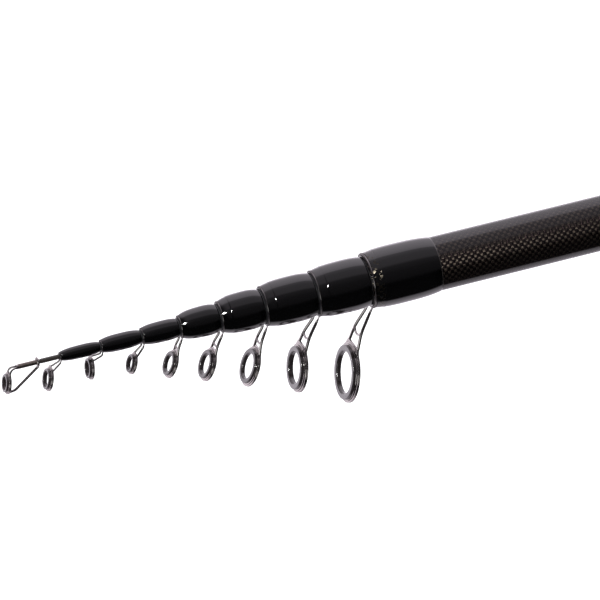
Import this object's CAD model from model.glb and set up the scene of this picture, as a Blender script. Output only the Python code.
"""Dresses a packed telescopic rod: woven butt, lacquered noses, wire guides, reel seat and butt cap."""

import math
from functools import cache

import bmesh
import bpy
import numpy as np
from bpy.props import FloatProperty, FloatVectorProperty, IntProperty, PointerProperty
from mathutils import Matrix, Vector


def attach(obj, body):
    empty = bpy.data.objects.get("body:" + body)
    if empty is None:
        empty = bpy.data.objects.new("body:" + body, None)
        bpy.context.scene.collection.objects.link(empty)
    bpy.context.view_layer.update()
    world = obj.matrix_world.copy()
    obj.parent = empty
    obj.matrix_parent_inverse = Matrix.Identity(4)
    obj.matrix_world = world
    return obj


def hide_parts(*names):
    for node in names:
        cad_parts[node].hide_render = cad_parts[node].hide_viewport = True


bl_info = {
    "name": "Telescopic Rod Dresser",
    "version": (1, 0, 0),
    "blender": (4, 5, 0),
    "location": "View3D > Sidebar > Rod",
    "description": "Builds the looks of a telescopic fishing rod round its packed solids",
    "category": "Object",
}

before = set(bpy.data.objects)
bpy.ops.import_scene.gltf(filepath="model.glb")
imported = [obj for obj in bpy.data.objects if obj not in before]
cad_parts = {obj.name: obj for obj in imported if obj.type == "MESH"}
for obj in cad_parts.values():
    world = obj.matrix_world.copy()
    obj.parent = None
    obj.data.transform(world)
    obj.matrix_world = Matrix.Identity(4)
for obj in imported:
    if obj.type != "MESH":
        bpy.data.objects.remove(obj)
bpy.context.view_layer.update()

TUBE_COUNT = 8
TIP = 9
MM = 0.001
TURN = 2 * math.pi


def mm(value):
    """Millimetres as metres."""
    return value * MM


def sized(label, note, unit, values):
    """A property of one number, or of a list of them."""
    if len(values) == 1:
        return FloatProperty(name=label, description=note, default=values[0], unit=unit)
    return FloatVectorProperty(name=label, description=note, default=values, size=len(values), unit=unit)


def length(label, note, *millimetres):
    """A length, or one for each section from the butt on, with defaults in millimetres."""
    return sized(label, note, "LENGTH", tuple(mm(value) for value in millimetres))


def bearing(label, note, *degrees):
    """An angle, or one for each section from the butt on, with defaults in degrees."""
    return sized(label, note, "ROTATION", tuple(math.radians(value) for value in degrees))


def tint(label, note, *rgb):
    """A colour property in scene linear light."""
    return FloatVectorProperty(
        name=label, description=note, default=rgb, size=3, subtype="COLOR", min=0, max=1
    )


class RodSections(bpy.types.PropertyGroup):
    """Sizes of the tubes and of the tip rod."""

    butt_len: length("Butt length", "Butt tube from its rear end to its mouth", 520)
    nose_step: length(
        "Nose steps", "From each mouth to the next one", 24.4, 23.7, 20.1, 18.3, 17.1, 18.6, 18.6, 18.1
    )
    tip_base_r: length("Tip radius", "Radius of the tip rod at its base", 1.25)
    wall: length("Walls", "Wall of each tube", 0.9, 0.7, 0.65, 0.75, 0.7, 0.5, 0.45, 0.45)
    taper: length("Tapers", "Narrowing of each tube in radius", 0, 0.3, 0.3, 0.3, 0.25, 0.2, 0.15, 0.15)
    choke: length(
        "Chokes", "How much each bore draws in", 0.47, 0.32, 0.42, 0.82, 1.02, 0.42, 0.17, 0.27
    )
    tip_taper: length("Tip taper", "Narrowing of the tip rod in radius", 0.17)
    overlap: length("Overlaps", "Straight base of each inner section", 50, 46, 42, 38, 35, 32, 30, 28)
    mouth_land: length("Mouth land", "Straight land in each mouth", 3)
    lock_fit: length("Lock fit", "Clearance of a base in its mouth", 0.03)
    bond: length("Bond", "Glue line", 0.03)
    base_s: length("Base", "Where the inner sections rest", 16.3)


class RodNoses(bpy.types.PropertyGroup):
    """Sizes of the lacquered nose wraps."""

    butt_wrap_len: length("Butt wrap", "Length of the wrap on the butt tube", 32)
    mouth_wall: length(
        "Mouth walls", "Wall under each wire loop", 0.7, 0.45, 0.45, 0.4, 0.4, 0.3, 0.25, 0.3
    )
    wrap_t: length(
        "Rear edges", "Thickness of each wrap behind", 0.15, 0.55, 0.45, 0.1, 0.1, 0.15, 0.15, 0.2
    )
    swell: length("Swells", "Swell of each wrap", 0.95, 0.9, 1.05, 1.25, 1.2, 0.75, 0.85, 0.8)
    wrap_gap: length("Wrap gap", "Gap between a wrap and the mouth behind it", 0.4)
    mouth_lip: length("Mouth lip", "Bare tube in front of each wire loop", 0.25)
    collar_len: length("Collar", "Length of the clear collar behind a mouth", 3.6)


class RodGuides(bpy.types.PropertyGroup):
    """Sizes of the line guides."""

    loop_d: length("Loops", "Wire round each mouth", 1, 0.6, 0.6, 0.6, 0.6, 0.45, 0.45, 0.4)
    leg_d: length("Legs", "Wire of the legs", 1.4, 1.4, 1.3, 1.2, 1.1, 0.9, 0.8, 0.8)
    leg_spread: length("Spreads", "Leg to middle plane at the loop", 2.3, 2.2, 2, 1.8, 1.6, 1.3, 1.1, 1)
    ring_od: length("Rings", "Outer diameter", 24.4, 19.3, 15.6, 12.8, 10.8, 8, 8.8, 9.2, 8)
    ring_wall: length("Ring walls", "Bore to outside", 2.85, 2.55, 2.2, 1.9, 1.6, 1.1, 1.1, 1.1, 1.15)
    ring_w: length("Ring widths", "Along the ring's axis", 2.5, 2.6, 2, 2.2, 2, 2, 2, 2, 1.9)
    band_t: length("Bands", "Metal round the ring", 1.3, 1.3, 1.2, 1, 0.9, 0.65, 0.65, 0.65, 0.72)
    band_w: length("Band widths", "Along the ring's axis", 1.3, 1.4, 1.1, 1.2, 1.1, 1.1, 1.1, 1.1, 1.1)
    leg_drop: length("Drops", "Loop to the top of the band", 16.6, 12.7, 10.1, 7.5, 5.8, 3.8, 1.2, 2.3)
    ring_forward: length("Reaches", "Ring in front of its mouth", 13.5, 11.5, 9, 7.9, 5.9, 5.9, 6.1, 6.4)
    ring_lean: bearing("Leans", "Each ring's foot towards the tip", 15, 15, 27, 28, 29, 24, 11, 18, 15)
    braced: IntProperty(name="Braced", description="Guides with a cross brace", default=5, min=0, max=8)
    sleeve_len: length("Sleeve", "Metal sleeve on the tip rod", 9.6)
    sleeve_wall: length("Sleeve wall", "Wall of that sleeve", 0.2)
    clip_back: length("Clip", "Brace loop behind the sleeve's front", 8.6)
    tip_wire_d: length("Tip wire", "Wire of the tip top", 0.85)
    brace_d: length("Tip brace", "Wire of the tip top's brace", 1.1)
    tip_forward: length("Tip reach", "Tip ring in front of the sleeve", 6.3)
    tip_drop: length("Tip drop", "Tip ring below the axis", 6.5)
    face_gap: length("Face gap", "Gap between faces that close", 0.3)


class RodHandle(bpy.types.PropertyGroup):
    """Sizes of the reel seat, the grip and the butt cap."""

    seat_from: length("Seat", "Seat's rear end from the rear of the butt tube", 170)
    seat_len: length("Seat length", "Barrel of the seat", 120)
    barrel_wall: length("Barrel wall", "Barrel round the butt tube", 2.4)
    bed_cut: length("Bed", "Depth of the flat bed", 1.3)
    bed_end: length("Bed end", "Full barrel behind the bed", 6)
    hood_len: length("Hoods", "Length of each hood", 22)
    hood_wall: length("Hood walls", "Wall of the hoods", 1.5)
    pocket_h: length("Pocket", "Height of the pocket for the reel's foot", 5.4)
    pocket_depth: length("Pocket depth", "Depth of that pocket", 13)
    pocket_r: length("Pocket radius", "Radius of that pocket at its mouth", 11)
    pocket_draft: length("Pocket draft", "Narrowing of that pocket", 1)
    nut_len: length("Nut", "Length of the lock nut", 14)
    nut_wall: length("Nut wall", "Thickness of the lock nut", 2.6)
    nut_from: length("Nut place", "Lock nut in front of the seat's rear ring", 11)
    end_ring_len: length("End rings", "Metal rings at the ends of the seat", 6)
    key_w: length("Key", "Width of the sliding hood's key", 3)
    key_d: length("Key depth", "Depth of that key's slot", 1.1)
    slide_fit: length("Slide fit", "Clearance of the hood, the nut and the cap's thread", 0.25)
    grip_t: length("Grip", "Thickness of the grip sleeve", 0.9)
    grip_from: length("Grip place", "Grip sleeve from the rear of the butt tube", 6)
    grip_len: length("Grip length", "Length of the grip sleeve", 154)
    bush_len: length("Bush", "Threaded bush in the butt tube", 16)
    bush_wall: length("Bush wall", "Wall of that bush", 1.6)
    seal_t: length("Seal", "Seal under the cap's flange", 1.2)
    flange_t: length("Flange", "Flange of the cap", 5)
    bumper_t: length("Bumper", "Rubber behind the flange", 5)
    pad_t: length("Pad", "Cushion under the closed sections", 2)


class RodColours(bpy.types.PropertyGroup):
    """Colours of the finishes."""

    lacquer: tint("Lacquer", "Black lacquer of the noses", 0.0008, 0.0009, 0.0011)
    tow_dark: tint("Dark tow", "Carbon tow that lies across the tube", 0.004, 0.0035, 0.0035)
    tow_light: tint("Light tow", "Carbon tow that lies along the tube", 0.058, 0.05, 0.038)
    resin: tint("Resin", "Resin between the tows", 0.014, 0.008, 0.008)
    thin_edge: tint("Thin edge", "Lacquer at the rear edge of the butt wrap", 0.032, 0.029, 0.027)
    carbon: tint("Plain carbon", "Inner tubes", 0.014, 0.014, 0.016)
    wire: tint("Wire", "Polished steel of the guides", 0.58, 0.55, 0.54)
    ceramic: tint("Ceramic", "Line rings", 0.034, 0.027, 0.028)
    tip: tint("Tip rod", "Lacquer of the tip rod", 0.045, 0.038, 0.034)
    sleeve: tint("Sleeve", "Metal sleeve of the tip top", 0.26, 0.22, 0.20)
    hood: tint("Hoods", "Brushed aluminium of the hoods", 0.42, 0.42, 0.43)
    anodised: tint("Anodised", "Dark aluminium of rings and cap", 0.10, 0.10, 0.11)
    plastic: tint("Seat", "Plastic of the barrel and the nut", 0.016, 0.016, 0.017)
    rubber: tint("Rubber", "Grip sleeve and cap rubbers", 0.014, 0.014, 0.014)
    floor: tint("Floor", "Pale floor", 0.86, 0.86, 0.87)


class RodLooks(bpy.types.PropertyGroup):
    """All sizes and colours of the rod, and the view of it."""

    sections: PointerProperty(type=RodSections)
    noses: PointerProperty(type=RodNoses)
    guides: PointerProperty(type=RodGuides)
    handle: PointerProperty(type=RodHandle)
    colours: PointerProperty(type=RodColours)
    view_turn: bearing("View turn", "Camera's turn round Z", -15.15)
    view_rise: bearing("View rise", "Camera above the horizon", 27.58)
    view_roll: bearing("View roll", "Camera's roll", -6.71)
    view_dist: length("View distance", "Camera to rod", 2188)
    view_lens: FloatProperty(name="Lens", description="Focal length in millimetres", default=300)
    weave_cell: length("Weave cell", "Width of one tow of the woven butt", 1.45)


def rod():
    """The scene's sizes and colours of the rod."""
    return bpy.context.scene.rod_looks


def nth(values, k):
    """The value of section k, counted from 1 at the butt."""
    return values[k - 1]


def base_r(k):
    """Outer radius of a section at its base: the next base plus fit, choke, taper and wall."""
    tube = rod().sections
    if k == TIP:
        return tube.tip_base_r
    return base_r(k + 1) + tube.lock_fit + nth(tube.choke, k) + nth(tube.taper, k) + nth(tube.wall, k)


def nose_r(k):
    """Outer radius of a section where its nose begins."""
    tube = rod().sections
    return base_r(k) - (tube.tip_taper if k == TIP else nth(tube.taper, k))


def mouth_r(k):
    """Bore of a tube at its mouth."""
    return base_r(k + 1) + rod().sections.lock_fit


def mouth_out_r(k):
    """Outside of a tube at its mouth, under the wire loop."""
    return mouth_r(k) + nth(rod().noses.mouth_wall, k)


def loop_r(k):
    """Radius of the middle of the wire loop round a mouth."""
    return mouth_out_r(k) + rod().sections.bond + nth(rod().guides.loop_d, k) / 2


def loop_out_r(k):
    """Outside of the wire loop round a mouth."""
    return loop_r(k) + nth(rod().guides.loop_d, k) / 2


def mouth_s(k):
    """Place of a mouth along the rod, from the rear end of the butt tube."""
    tube = rod().sections
    return tube.butt_len + sum(tube.nose_step[: k - 1])


def nose_s(k):
    """Place where the nose of a section begins."""
    if k == 1:
        return mouth_s(1) - rod().noses.butt_wrap_len
    return mouth_s(k - 1) + rod().noses.wrap_gap


def seat_s(k):
    """Front end of a nose wrap, just behind the wire loop."""
    return mouth_s(k) - nth(rod().guides.loop_d, k) - rod().sections.bond - rod().noses.mouth_lip


def loop_s(k):
    """Place of the wire loop round a mouth."""
    return seat_s(k) + rod().sections.bond + nth(rod().guides.loop_d, k) / 2


def tip_end_s():
    """Free end of the tip rod."""
    return mouth_s(TUBE_COUNT) + nth(rod().sections.nose_step, TUBE_COUNT)


def sleeve_end_s():
    """Front end of the metal sleeve on the tip rod."""
    return tip_end_s() + rod().guides.face_gap


def at(s, y, z):
    """A point of the rod: s runs from the butt tube's rear to the tip, and X is 0 at the grip's middle."""
    handle = rod().handle
    return np.stack(np.broadcast_arrays(handle.grip_from + handle.grip_len / 2 - s, y, z), axis=-1)


def ring_r(k):
    """Outer radius of a ceramic ring."""
    return nth(rod().guides.ring_od, k) / 2


def band_in_r(k):
    """Inside of the metal band round a ceramic ring."""
    return ring_r(k) + rod().sections.bond


def band_out_r(k):
    """Outside of that band."""
    return band_in_r(k) + nth(rod().guides.band_t, k)


def flange_d(k):
    """Depth of the flange behind a ceramic ring, a fifth of the ring's wall."""
    return nth(rod().guides.ring_wall, k) * 0.2


def ring_centre(k):
    """Centre of a ring: the loop, its drop and the leaning band give the depth below the axis."""
    guides = rod().guides
    if k == TIP:
        return at(sleeve_end_s() + guides.tip_forward, 0.0, -guides.tip_drop)
    drop = loop_out_r(k) + nth(guides.leg_drop, k) + band_out_r(k) * math.cos(nth(guides.ring_lean, k))
    return at(mouth_s(k) + nth(guides.ring_forward, k), 0.0, -drop)


def on_ring(k, up, side, ahead):
    """Points in a ring's own frame: up towards the rod, side across it, ahead along the ring's axis."""
    lean = nth(rod().guides.ring_lean, k)
    up, side, ahead = np.broadcast_arrays(up, side, ahead)
    up_way = np.array([math.sin(lean), 0, math.cos(lean)])
    ahead_way = np.array([-math.cos(lean), 0, math.sin(lean)])
    side_way = np.array([0, 1, 0])
    return (
        ring_centre(k)
        + up[..., None] * up_way
        + side[..., None] * side_way
        + ahead[..., None] * ahead_way
    )


def smooth(t):
    """A soft step from 0 to 1: three t squared less two t cubed."""
    t = np.clip(t, 0, 1)
    return t * t * (3 - 2 * t)


def quarter_round(near):
    """How far a round edge falls off: a quarter circle from 1 at the edge to 0 at one radius from it."""
    return 1 - np.sqrt(1 - (1 - np.clip(near, 0, 1)) ** 2)


def fillet(radius, steps):
    """A quarter circle at an edge: how far its points stay back from the one face and from the other."""
    turn = np.linspace(0, math.pi / 2, steps)
    return radius * (1 - np.sin(turn)), radius * (1 - np.cos(turn))


def pairs(first, second):
    """Two rows of numbers as the points of a profile."""
    return np.stack(np.broadcast_arrays(first, second), axis=1)


def grid(points, close_rows=False, rows_at=None, cols_at=None):
    """A surface from a grid of points whose columns close up: quads between neighbours.
    Its UV holds the values of columns and rows, which count from 0 to 1 unless given."""
    rows, cols = points.shape[:2]
    row = np.arange(rows if close_rows else rows - 1)
    low, left = np.meshgrid(row, np.arange(cols), indexing="ij")
    high, right = (low + 1) % rows, (left + 1) % cols
    corners = [(low, left), (low, right), (high, right), (high, left)]
    quads = np.stack([r * cols + c for r, c in corners], axis=-1).reshape(-1, 4)
    v = np.arange(rows + 1) / rows if rows_at is None else np.append(rows_at, rows_at[0])
    u = np.arange(cols + 1) / cols if cols_at is None else cols_at
    uv_corners = [(low, left), (low, left + 1), (low + 1, left + 1), (low + 1, left)]
    uv = np.stack([np.stack([u[c], v[r]], axis=-1) for r, c in uv_corners], axis=-2).reshape(-1, 4, 2)
    return points.reshape(-1, 3), quads, uv


def revolved(profile, sides=96, u_scale=1.0, v_scale=1.0):
    """A closed profile of (s, radius) points turned round the rod's axis; UV counts turns and length."""
    profile = np.asarray(profile, float)
    angle = np.arange(sides) * TURN / sides
    s, r = profile[:, :1], profile[:, 1:]
    points = at(s + 0 * angle, r * np.sin(angle), r * np.cos(angle))
    turns = np.arange(sides + 1) / sides * u_scale
    return grid(points, close_rows=True, rows_at=profile[:, 0] * v_scale, cols_at=turns)


def ring_turned(k, profile, sides=96):
    """A closed profile of (radius, ahead) points turned round the axis of guide k's ring."""
    profile = np.asarray(profile, float)
    angle = np.arange(sides) * TURN / sides
    r, ahead = profile[:, :1], profile[:, 1:]
    return grid(on_ring(k, r * np.cos(angle), r * np.sin(angle), ahead + 0 * angle), close_rows=True)


def swept(path, radius, across, sides=20, closed=False):
    """Round wire along a path: circles across it, set up from the direction that lies across the wire."""
    path = np.asarray(path, float)
    radius = np.broadcast_to(radius, path.shape[:1])[:, None, None]
    if closed:
        along = np.roll(path, -1, axis=0) - np.roll(path, 1, axis=0)
    else:
        along = np.gradient(path, axis=0)
    along /= np.linalg.norm(along, axis=1, keepdims=True)
    first = np.cross(along, np.broadcast_to(across, path.shape))
    first /= np.linalg.norm(first, axis=1, keepdims=True)
    second = np.cross(along, first)
    angle = (np.arange(sides) * TURN / sides)[None, :, None]
    circle = np.cos(angle) * first[:, None, :] + np.sin(angle) * second[:, None, :]
    points = path[:, None, :] + radius * circle
    if not closed:
        first_end, last_end = (path[end, None, None] + 0 * circle[:1] for end in (0, -1))
        points = np.concatenate([first_end, points, last_end])
    return grid(points, close_rows=closed)


def rounded_path(corners, bends, steps=10):
    """A path through corners, each rounded by a quadratic curve from a bend's length before it to after."""
    corners = [np.asarray(c, float) for c in corners]
    t = np.linspace(0, 1, steps)[:, None]
    runs = [corners[0][None]]
    for before, corner, after, bend in zip(corners, corners[1:], corners[2:], bends):
        enter = corner + (before - corner) / np.linalg.norm(before - corner) * bend
        leave = corner + (after - corner) / np.linalg.norm(after - corner) * bend
        runs.append((1 - t) ** 2 * enter + 2 * t * (1 - t) * corner + t**2 * leave)
    runs.append(corners[-1][None])
    return np.concatenate(runs)


def evenly(path, count):
    """The same path with points at even distances, found by linear interpolation along its length."""
    step = np.linalg.norm(np.diff(path, axis=0), axis=1)
    run = np.concatenate([[0], np.cumsum(step)])
    want = np.linspace(0, run[-1], count)
    return np.stack([np.interp(want, run, path[:, i]) for i in range(3)], axis=1)


WELD = 1e-7


def make_piece(name, surfaces, look, body, node, crease=40.0):
    """Joins surfaces into one mesh at the origin, closes its seams and poles and hangs it on a body.
    The piece stands for one CAD node; its slot is named after its look unless another is given."""
    counts = np.cumsum([0] + [len(points) for points, _, _ in surfaces])
    points = np.concatenate([points for points, _, _ in surfaces])
    quads = np.concatenate([quads + first for (_, quads, _), first in zip(surfaces, counts)])
    uv = np.concatenate([uv for _, _, uv in surfaces])
    mesh = bpy.data.meshes.new(name)
    mesh.from_pydata(points.tolist(), [], quads.tolist())
    layer = mesh.uv_layers.new(name="surface")
    layer.data.foreach_set("uv", uv.reshape(-1).astype(np.float32))
    shell = bmesh.new()
    shell.from_mesh(mesh)
    bmesh.ops.remove_doubles(shell, verts=shell.verts, dist=WELD)
    bmesh.ops.dissolve_degenerate(shell, edges=shell.edges, dist=WELD)
    bmesh.ops.recalc_face_normals(shell, faces=shell.faces)
    shell.to_mesh(mesh)
    shell.free()
    mesh.polygons.foreach_set("use_smooth", np.ones(len(mesh.polygons), bool))
    mesh.set_sharp_from_angle(angle=math.radians(crease))
    piece = bpy.data.objects.new(name, mesh)
    bpy.context.scene.collection.objects.link(piece)
    mesh.materials.append(finish(look))
    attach(piece, body)
    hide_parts(node)
    return piece


def kept_from(lamp):
    """The pieces that a lamp does not light."""
    name = f"kept_from_{lamp}"
    return bpy.data.collections.get(name) or bpy.data.collections.new(name)


def keep_from(lamp, piece):
    """Keeps a lamp off a piece whose polish would turn its light to white spots."""
    kept_from(lamp).objects.link(piece)
    kept_from(lamp).collection_objects[-1].light_linking.link_state = "EXCLUDE"


def section_body(k):
    """Name of the body that section k belongs to."""
    if k == TIP:
        return "tip_section"
    return "butt" if k == 1 else f"section_{k}"


def new_finish(name, **sockets):
    """A Principled material with constants set on its own sockets; returns the material and its shader."""
    material = bpy.data.materials.new(name)
    material.use_nodes = True
    shader = material.node_tree.nodes["Principled BSDF"]
    for socket, value in sockets.items():
        shader.inputs[socket.replace("_", " ")].default_value = value
    return material, shader


def add_node(material, kind, settings=None, **inputs):
    """Adds a node, sets its fields, and feeds its inputs from values or from other nodes' outputs."""
    tree = material.node_tree
    node = tree.nodes.new(kind)
    for field, value in (settings or {}).items():
        setattr(node, field, value)
    for socket, value in inputs.items():
        key = int(socket[1:]) if socket[0] == "i" and socket[1:].isdigit() else socket.replace("_", " ")
        if isinstance(value, bpy.types.NodeSocket):
            tree.links.new(value, node.inputs[key])
        else:
            node.inputs[key].default_value = value
    return node


def feed(material, output, shader, socket):
    """Links an output to a socket of the shader."""
    material.node_tree.links.new(output, shader.inputs[socket])


def maths(material, operation, first, second=0.0, third=0.0):
    """The output of a Math node."""
    node = add_node(material, "ShaderNodeMath", {"operation": operation}, i0=first, i1=second, i2=third)
    return node.outputs[0]


def blend_colour(material, share, first, second):
    """A mix of two colours by a share from 0 to 1."""
    node = add_node(material, "ShaderNodeMix", {"data_type": "RGBA"}, i0=share)
    for index, value in ((6, first), (7, second)):
        if isinstance(value, bpy.types.NodeSocket):
            material.node_tree.links.new(value, node.inputs[index])
        else:
            node.inputs[index].default_value = (*value, 1)
    return node.outputs[2]


def blend(material, share, first, second):
    """A mix of two numbers by a share from 0 to 1."""
    return add_node(material, "ShaderNodeMix", None, i0=share, i2=first, i3=second).outputs[0]


def to_range(material, value, low, high, start=0.0, end=1.0):
    """Carries a value from one range, which is 0 to 1 unless given, over to another."""
    ranges = {"From_Min": start, "From_Max": end, "To_Min": low, "To_Max": high}
    return add_node(material, "ShaderNodeMapRange", None, Value=value, **ranges).outputs[0]


def grain(material, scale, stretch=(1, 1, 1), detail=3.0):
    """Noise on object coordinates, stretched along the axes."""
    place = add_node(material, "ShaderNodeTexCoord").outputs["Object"]
    turned = add_node(material, "ShaderNodeMapping", None, Vector=place, Scale=stretch).outputs[0]
    noise = add_node(material, "ShaderNodeTexNoise", None, Vector=turned, Scale=scale, Detail=detail)
    return noise.outputs[0]


def surface_uv(material):
    """The piece's own UV as two outputs, round the piece and along it."""
    uv = add_node(material, "ShaderNodeUVMap", {"uv_map": "surface"}).outputs[0]
    apart = add_node(material, "ShaderNodeSeparateXYZ", None, Vector=uv)
    return uv, apart.outputs[0], apart.outputs[1]


def raise_bump(material, shader, height, distance):
    """Feeds a height into the shader's normal, with the relief's depth in metres."""
    bump = add_node(material, "ShaderNodeBump", None, Height=height, Distance=distance, Strength=1.0)
    feed(material, bump.outputs[0], shader, "Normal")


def vary(material, shader, noise, low, high):
    """Lets the roughness wander between two values."""
    feed(material, to_range(material, noise, low, high), shader, "Roughness")


def mottle(material, shader, noise, colour, low, high):
    """Lets the colour wander between two multiples of itself."""
    colour = Vector(colour)
    feed(material, blend_colour(material, noise, colour * low, colour * high), shader, "Base Color")


LACQUER_RELIEF = mm(0.012)
BINDING_PITCH = mm(0.34)
BINDING_SHARE = 0.15
EDGE_LINE = mm(0.45)
FLECK = mm(1.45)
FLECKS_ROUND = 56
FLECK_ROUGHNESS = 0.2
FLECK_SLOPE = -0.25


def collar_flecks(material, round_it, along):
    """Carbon under the clear collar of the butt's nose: a chequer of tows, broken up by noise.
    Returns where they show, and a height that falls towards the tip within each one."""
    behind = maths(material, "LESS_THAN", along, seat_s(1))
    ahead = maths(material, "GREATER_THAN", along, seat_s(1) - rod().noses.collar_len)
    turned = maths(material, "MULTIPLY", round_it, FLECKS_ROUND)
    run = maths(material, "MULTIPLY", along, 1 / FLECK)
    cells = add_node(material, "ShaderNodeCombineXYZ", None, X=turned, Y=run).outputs[0]
    tows = add_node(material, "ShaderNodeTexChecker", None, Vector=cells, Scale=1.0).outputs[1]
    shown = maths(material, "GREATER_THAN", grain(material, 420, detail=1.0), 0.5)
    collar = maths(material, "MULTIPLY", behind, ahead)
    flecks = maths(material, "MULTIPLY", collar, maths(material, "MULTIPLY", tows, shown))
    fall = maths(material, "MULTIPLY", maths(material, "FRACT", run), FLECK * FLECK_SLOPE / LACQUER_RELIEF)
    return flecks, maths(material, "MULTIPLY", flecks, fall)


def lacquer_finish():
    """Black lacquer over fine thread: faint ridges round the nose and a slow wander of gloss and depth.
    Carbon flecks show under the butt's clear collar, and the butt wrap thins out to a pale line behind."""
    material, shader = new_finish("black_lacquer", IOR=1.5, Coat_Weight=0.6, Coat_Roughness=0.03)
    colours = rod().colours
    colour = Vector(colours.lacquer)
    soft = grain(material, 60)
    _, round_it, along = surface_uv(material)
    flecks, lean = collar_flecks(material, round_it, along)
    thin = maths(material, "LESS_THAN", along, nose_s(1) + EDGE_LINE)
    black = blend_colour(material, soft, colour, colour * 1.7)
    lined = blend_colour(material, thin, black, colours.thin_edge)
    feed(material, blend_colour(material, flecks, lined, colours.tow_light), shader, "Base Color")
    feed(material, flecks, shader, "Metallic")
    gloss = to_range(material, grain(material, 220), 0.05, 0.13)
    feed(material, maths(material, "MULTIPLY_ADD", flecks, FLECK_ROUGHNESS, gloss), shader, "Roughness")
    thread = maths(material, "SINE", maths(material, "MULTIPLY", along, TURN / BINDING_PITCH))
    ridge = maths(material, "MULTIPLY_ADD", thread, BINDING_SHARE, soft)
    raise_bump(material, shader, maths(material, "ADD", ridge, lean), LACQUER_RELIEF)
    return material


TOW_LIFT = 0.5
TOW_LEAN = -1.15
TOW_CURVE = 1.5
TOW_EDGE = 0.45
TOW_RELIEF = mm(0.48)
CRIMP_RISE = 4.0


def weave_finish():
    """Plain-woven carbon under clear lacquer: a chequer of tows with brown resin between them.
    Tows along the tube dip at each crossing and lean across their width; the others are rounded."""
    material, shader = new_finish(
        "woven_carbon",
        Specular_IOR_Level=0.1,
        Specular_Tint=(0.1, 0.1, 0.1, 1),
        Coat_Weight=1.0,
        Coat_Roughness=0.02,
        Coat_IOR=1.62,
    )
    colours = rod().colours
    uv, round_it, along = surface_uv(material)
    lies_along = add_node(material, "ShaderNodeTexChecker", None, Vector=uv, Scale=1.0).outputs[1]
    over_round, over_along = (
        maths(material, "ABSOLUTE", maths(material, "SINE", maths(material, "MULTIPLY", part, math.pi)))
        for part in (round_it, along)
    )
    place = maths(material, "FRACT", along)
    fall = maths(material, "SUBTRACT", 1.0, place)
    crimp = maths(material, "MINIMUM", fall, maths(material, "MULTIPLY", place, CRIMP_RISE))
    across = maths(material, "FRACT", round_it)
    lean = maths(material, "MULTIPLY", maths(material, "POWER", across, TOW_CURVE), TOW_LEAN)
    rolled = maths(material, "ADD", crimp, maths(material, "MULTIPLY_ADD", across, TOW_LIFT, lean))
    crown = blend(material, lies_along, over_along, rolled)
    edge = maths(material, "POWER", maths(material, "MULTIPLY", over_round, over_along), TOW_EDGE)
    tow = blend_colour(material, lies_along, colours.tow_dark, colours.tow_light)
    worn = to_range(material, grain(material, 900, detail=1.0), 0.35, 1.0)
    shade = maths(material, "MULTIPLY", edge, worn)
    feed(material, blend_colour(material, shade, colours.resin, tow), shader, "Base Color")
    feed(material, maths(material, "POWER", shade, 0.25), shader, "Metallic")
    vary(material, shader, grain(material, 1500, detail=1.0), 0.24, 0.32)
    raise_bump(material, shader, crown, TOW_RELIEF)
    return material


def streaked(name, colour, tones, gloss, scale, stretch, relief, **sockets):
    """A finish with streaks in one direction, which carry its colour, its gloss and a shallow relief."""
    material, shader = new_finish(name, **sockets)
    streak = grain(material, scale, stretch)
    mottle(material, shader, streak, colour, *tones)
    vary(material, shader, streak, *gloss)
    raise_bump(material, shader, streak, relief)
    return material


def carbon_finish():
    """Plain carbon tube: fine streaks along the rod under a satin coat."""
    coat = {"IOR": 1.5, "Coat_Weight": 0.5, "Coat_Roughness": 0.12}
    tones, gloss, stretch = (0.6, 2.2), (0.26, 0.42), (0.02, 1, 1)
    return streaked("plain_carbon", rod().colours.carbon, tones, gloss, 500, stretch, mm(0.01), **coat)


def tip_finish():
    """Brown-grey lacquer of the tip rod, with faint grinding rings."""
    coat = {"IOR": 1.5, "Coat_Weight": 0.4, "Coat_Roughness": 0.1}
    tones, gloss, stretch = (0.7, 1.5), (0.22, 0.38), (1, 0.05, 0.05)
    return streaked("tip_glass_fibre", rod().colours.tip, tones, gloss, 1500, stretch, mm(0.008), **coat)


def brushed(name, colour, gloss, fine):
    """Metal brushed round the rod: the noise is as fine round it as the share given, and full along it."""
    return streaked(name, colour, (0.75, 1.2), gloss, 900, (1, fine, fine), mm(0.006), Metallic=1.0)


def sleeve_finish():
    """Brown-grey metal of the tip top's sleeve."""
    return brushed("tip_sleeve", rod().colours.sleeve, (0.24, 0.4), 0.06)


def hood_finish():
    """Bright aluminium of the hoods."""
    return brushed("hood_aluminium", rod().colours.hood, (0.2, 0.36), 0.05)


def anodised_finish():
    """Dark aluminium of the lock nut, the end rings and the cap."""
    return brushed("seat_aluminium", rod().colours.anodised, (0.26, 0.4), 0.2)


LOOP_MARK = 2.0
LOOP_TONE = 0.42


def wire_finish():
    """Polished guide wire of a warm grey tone, with a little wear.
    The loops, which are marked in the UV, lie under lacquer and are darker."""
    material, shader = new_finish("guide_steel", Metallic=1.0, Specular_Tint=(0.5, 0.5, 0.5, 1))
    colour = Vector(rod().colours.wire)
    wear = grain(material, 700)
    bare = blend_colour(material, wear, colour * 0.8, colour * 1.2)
    _, mark, _ = surface_uv(material)
    lacquered = maths(material, "GREATER_THAN", mark, LOOP_MARK / 2)
    feed(material, blend_colour(material, lacquered, bare, colour * LOOP_TONE), shader, "Base Color")
    vary(material, shader, grain(material, 2500), 0.10, 0.18)
    raise_bump(material, shader, wear, mm(0.01))
    return material


def ceramic_finish():
    """Polished dark ceramic with a fine speckle."""
    material, shader = new_finish("ring_ceramic", IOR=1.75, Coat_Weight=0.3, Coat_Roughness=0.08)
    mottle(material, shader, grain(material, 3000), rod().colours.ceramic, 0.75, 1.3)
    vary(material, shader, grain(material, 400), 0.14, 0.26)
    return material


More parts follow.
